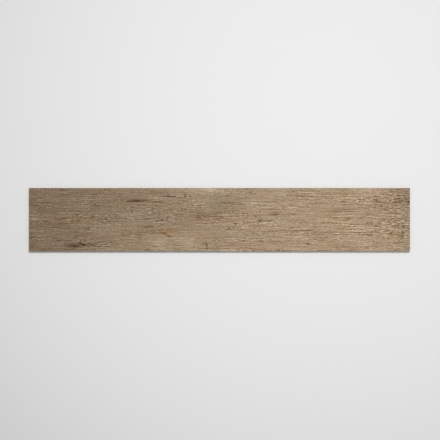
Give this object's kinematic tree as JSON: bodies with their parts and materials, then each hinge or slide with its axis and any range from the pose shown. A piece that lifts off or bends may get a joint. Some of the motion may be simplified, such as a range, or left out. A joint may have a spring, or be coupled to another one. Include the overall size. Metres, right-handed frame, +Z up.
{
  "type": "wood look porcelain plank tile",
  "caption": "Long flat porcelain plank tile with a printed weathered-oak face, bevelled ground edges and a pressed waffle back that keys into adhesive.",
  "frame": {"origin": "under the middle of the back, on the plane of the rib crowns that the plank lies on", "axes": "+X along the plank and its grain, +Y across its width, +Z up to the printed walking face"},
  "size_m": [1.2, 0.2, 0.0095],
  "materials": {
    "wood_look_porcelain": "matte"
  },
  "bodies": {
    "root": {"plank_tile": "wood_look_porcelain"}
  },
  "joints": []
}
